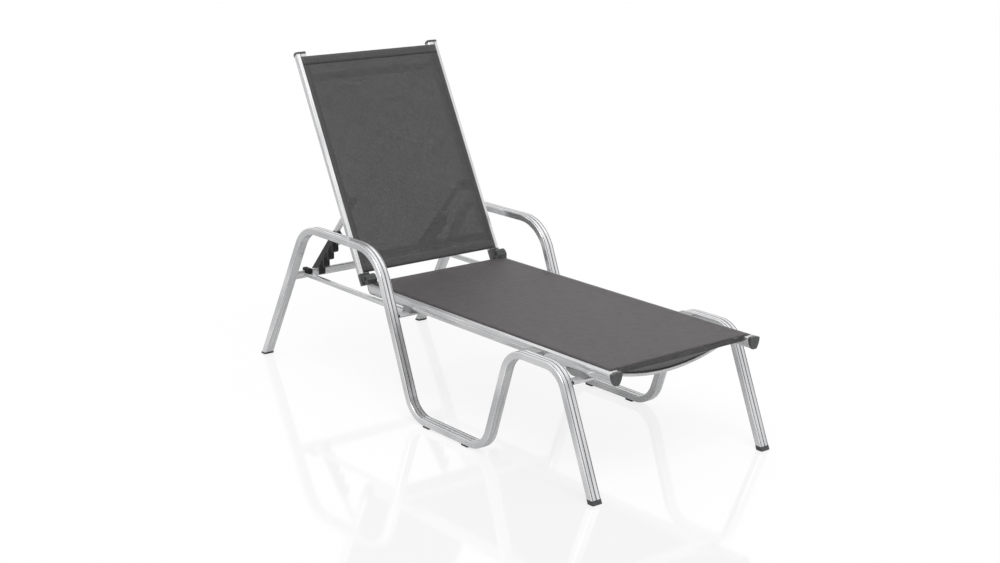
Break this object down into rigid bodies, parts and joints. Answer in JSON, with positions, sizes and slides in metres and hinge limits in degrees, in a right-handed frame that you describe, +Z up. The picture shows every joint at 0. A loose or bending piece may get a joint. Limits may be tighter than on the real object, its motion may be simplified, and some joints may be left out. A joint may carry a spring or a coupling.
{
  "type": "reclining sun lounger",
  "caption": "Reclining sun lounger: bent aluminium side frames, sling seat, and a sling back that notched props hold at several angles.",
  "frame": {"origin": "on the floor, in the middle of the footprint", "axes": "+X towards the foot end, +Y to the left of a person lying on it, +Z up"},
  "size_m": [1.7668, 0.7028, 1.0716],
  "materials": {
    "aluminium_tube": "satin anodised, brushed along the tube",
    "sling_fabric": "woven PVC-coated mesh",
    "keder_cord": "smooth",
    "black_plastic": "fine grain",
    "grey_plastic": "fine grain",
    "steel_pin": "zinc plated"
  },
  "bodies": {
    "base": {"front_crossbar": "aluminium_tube", "front_foot_cap_left": "grey_plastic", "front_foot_cap_right": "grey_plastic", "front_glide_left": "black_plastic", "front_glide_right": "black_plastic", "front_saddle_left": "grey_plastic", "front_saddle_right": "grey_plastic", "front_spreader": "aluminium_tube", "hinge_pin_left": "steel_pin", "hinge_pin_right": "steel_pin", "lower_hinge_left": "grey_plastic", "lower_hinge_right": "grey_plastic", "mid_crossbar": "aluminium_tube", "mid_saddle_left": "grey_plastic", "mid_saddle_right": "grey_plastic", "rail_screws": "steel_pin", "rail_spacer_left": "black_plastic", "rail_spacer_right": "black_plastic", "rear_crossbar": "aluminium_tube", "rear_foot_cap_left": "black_plastic", "rear_foot_cap_right": "black_plastic", "rear_glide_left": "black_plastic", "rear_glide_right": "black_plastic", "seat_front_flap": "sling_fabric", "seat_keder_cord_left": "keder_cord", "seat_keder_cord_right": "keder_cord", "seat_rail_cap_left": "grey_plastic", "seat_rail_cap_right": "grey_plastic", "seat_rail_left": "aluminium_tube", "seat_rail_right": "aluminium_tube", "seat_sling": "sling_fabric", "side_frame_left": "aluminium_tube", "side_frame_right": "aluminium_tube", "side_tie_left": "aluminium_tube", "side_tie_right": "aluminium_tube", "tie_bumper_left": "black_plastic", "tie_bumper_right": "black_plastic"},
    "backrest": {"back_keder_cord_left": "keder_cord", "back_keder_cord_right": "keder_cord", "back_lower_cross_tube": "aluminium_tube", "back_rail_cap_left": "grey_plastic", "back_rail_cap_right": "grey_plastic", "back_rail_left": "aluminium_tube", "back_rail_right": "aluminium_tube", "back_sling": "sling_fabric", "back_upper_cross_tube": "aluminium_tube", "prop_bracket_left": "grey_plastic", "prop_bracket_right": "grey_plastic", "prop_pin_left": "steel_pin", "prop_pin_right": "steel_pin", "upper_hinge_left": "grey_plastic", "upper_hinge_right": "grey_plastic"},
    "prop_left": {"prop_foot_plug_left": "grey_plastic", "prop_rack_left": "black_plastic", "prop_top_plug_left": "grey_plastic", "prop_tube_left": "aluminium_tube"},
    "prop_right": {"prop_foot_plug_right": "grey_plastic", "prop_rack_right": "black_plastic", "prop_top_plug_right": "grey_plastic", "prop_tube_right": "aluminium_tube"}
  },
  "joints": [
    {"name": "recline", "type": "hinge", "parent": "base", "child": "backrest", "pos_m": [-0.30911, 0, 0.378], "axis": [0, -1, 0], "range_deg": [0, 60.1]},
    {"name": "prop_fold_left", "type": "hinge", "parent": "backrest", "child": "prop_left", "pos_m": [-0.47268, 0.217, 0.59361], "axis": [0, -1, 0], "range_deg": [-108, 0]},
    {"name": "prop_fold_right", "type": "hinge", "parent": "backrest", "child": "prop_right", "pos_m": [-0.47268, -0.217, 0.59361], "axis": [0, -1, 0], "range_deg": [-108, 0]}
  ],
  "couplings": [
    {"joint": "prop_fold_left", "follows": "recline", "ratio": -1.796},
    {"joint": "prop_fold_right", "follows": "recline", "ratio": -1.796}
  ]
}
